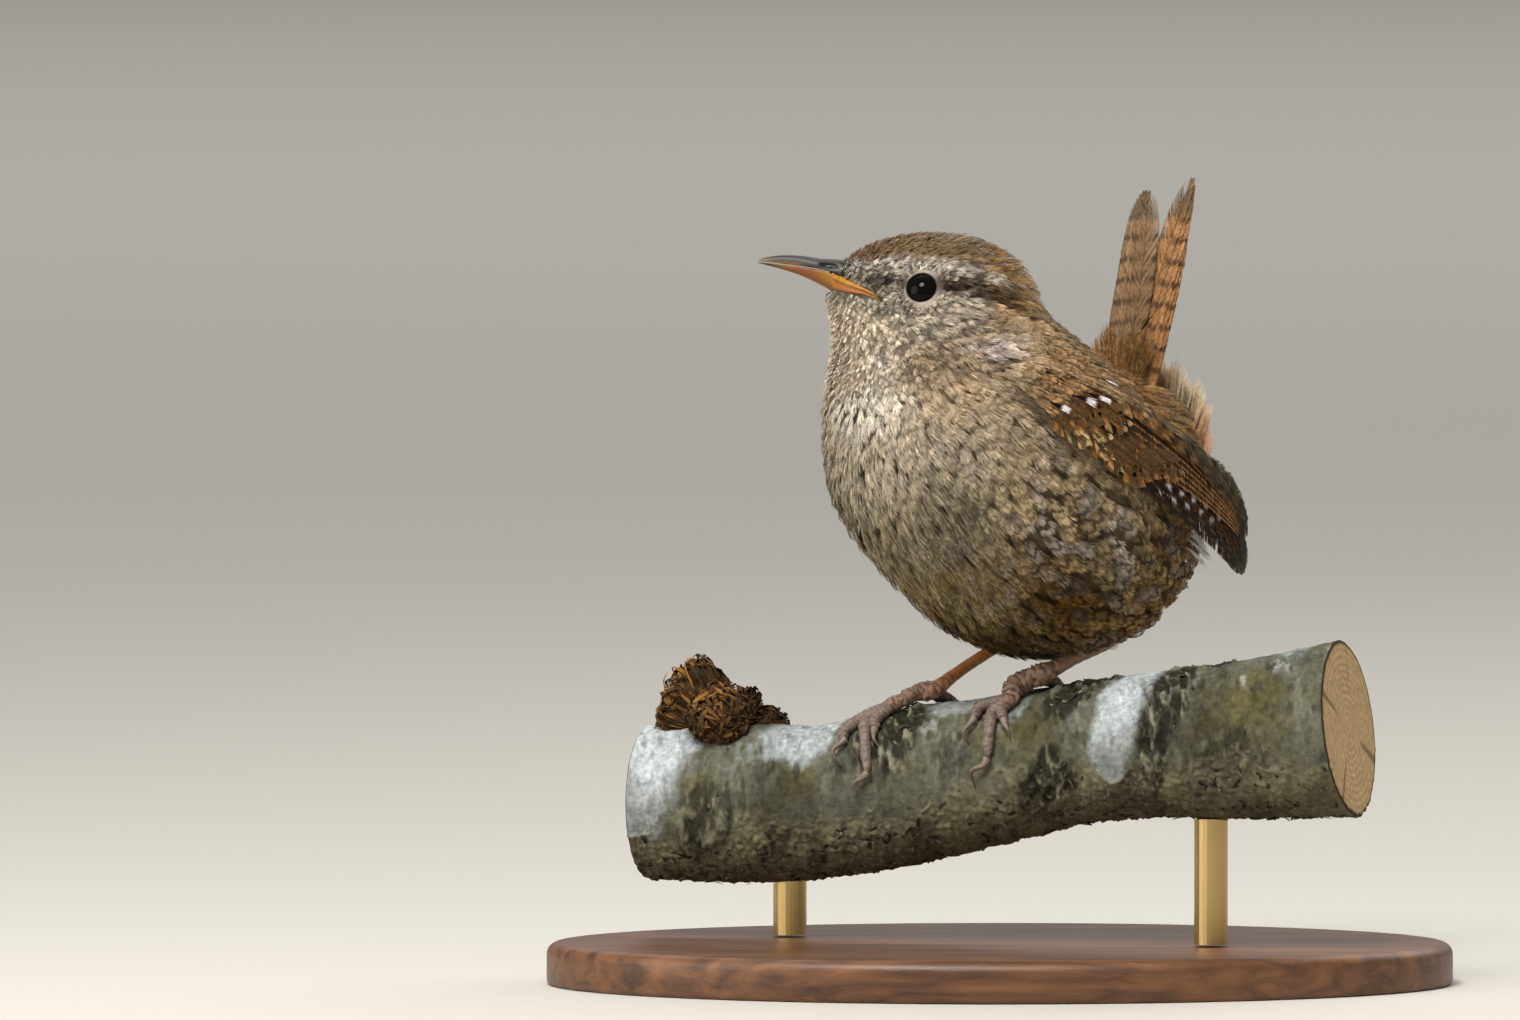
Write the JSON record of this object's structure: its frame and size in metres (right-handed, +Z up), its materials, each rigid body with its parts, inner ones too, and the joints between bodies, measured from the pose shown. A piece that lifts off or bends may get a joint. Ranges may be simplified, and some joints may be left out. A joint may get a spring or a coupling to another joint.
{
  "type": "wren, still life-size display model",
  "caption": "Round small brown songbird with a cocked tail, gripping a short birch branch on a wooden display stand.",
  "frame": {"origin": "centre of the underside of the stand's base", "axes": "+Z up; +X to the right as the picture shows the bird, along the base's longer side; +Y away from the viewer. The bill points towards -X"},
  "size_m": [0.108, 0.066, 0.096],
  "materials": {
    "plumage_head": "soft small feathers, streaked brown with a pale brow stripe",
    "plumage_neck": "soft small feathers, pale buff grey in front, brown behind",
    "plumage_body": "soft loose feathers, buff, barred with dark brown on the flanks",
    "plumage_rump": "soft feathers, warm brown with faint dark bars",
    "plumage_wing": "smooth vaned feathers, barred dark and rufous brown",
    "plumage_tail": "smooth vaned feathers, rufous with narrow dark bars",
    "plumage_undertail": "soft loose feathers, pale buff",
    "eye": "wet gloss, black brown",
    "bill_upper": "smooth horn, dark grey brown, satin",
    "bill_lower": "smooth horn, orange yellow, satin",
    "leg_skin": "scaled pinkish brown skin",
    "claw": "translucent horn, greyish brown",
    "bark": "rough birch bark, grey white with dark cracks and lichen",
    "stand_wood": "dark oiled hardwood, satin",
    "stand_metal": "satin brass rod"
  },
  "bodies": {
    "root": {"head": "plumage_head", "neck": "plumage_neck", "torso": "plumage_body", "rump": "plumage_rump", "eye_left": "eye", "eye_right": "eye", "bill_upper": "bill_upper", "bill_lower": "bill_lower", "wing_left": "plumage_wing", "wing_right": "plumage_wing", "tail": "plumage_tail", "undertail": "plumage_undertail", "leg_left": "leg_skin", "leg_right": "leg_skin", "foot_left": "leg_skin", "foot_right": "leg_skin", "claw_left_1": "claw", "claw_left_2": "claw", "claw_left_3": "claw", "claw_left_4": "claw", "claw_right_1": "claw", "claw_right_2": "claw", "claw_right_3": "claw", "claw_right_4": "claw", "perch": "bark", "stand_base": "stand_wood", "stand_rod_1": "stand_metal", "stand_rod_2": "stand_metal"}
  },
  "joints": []
}
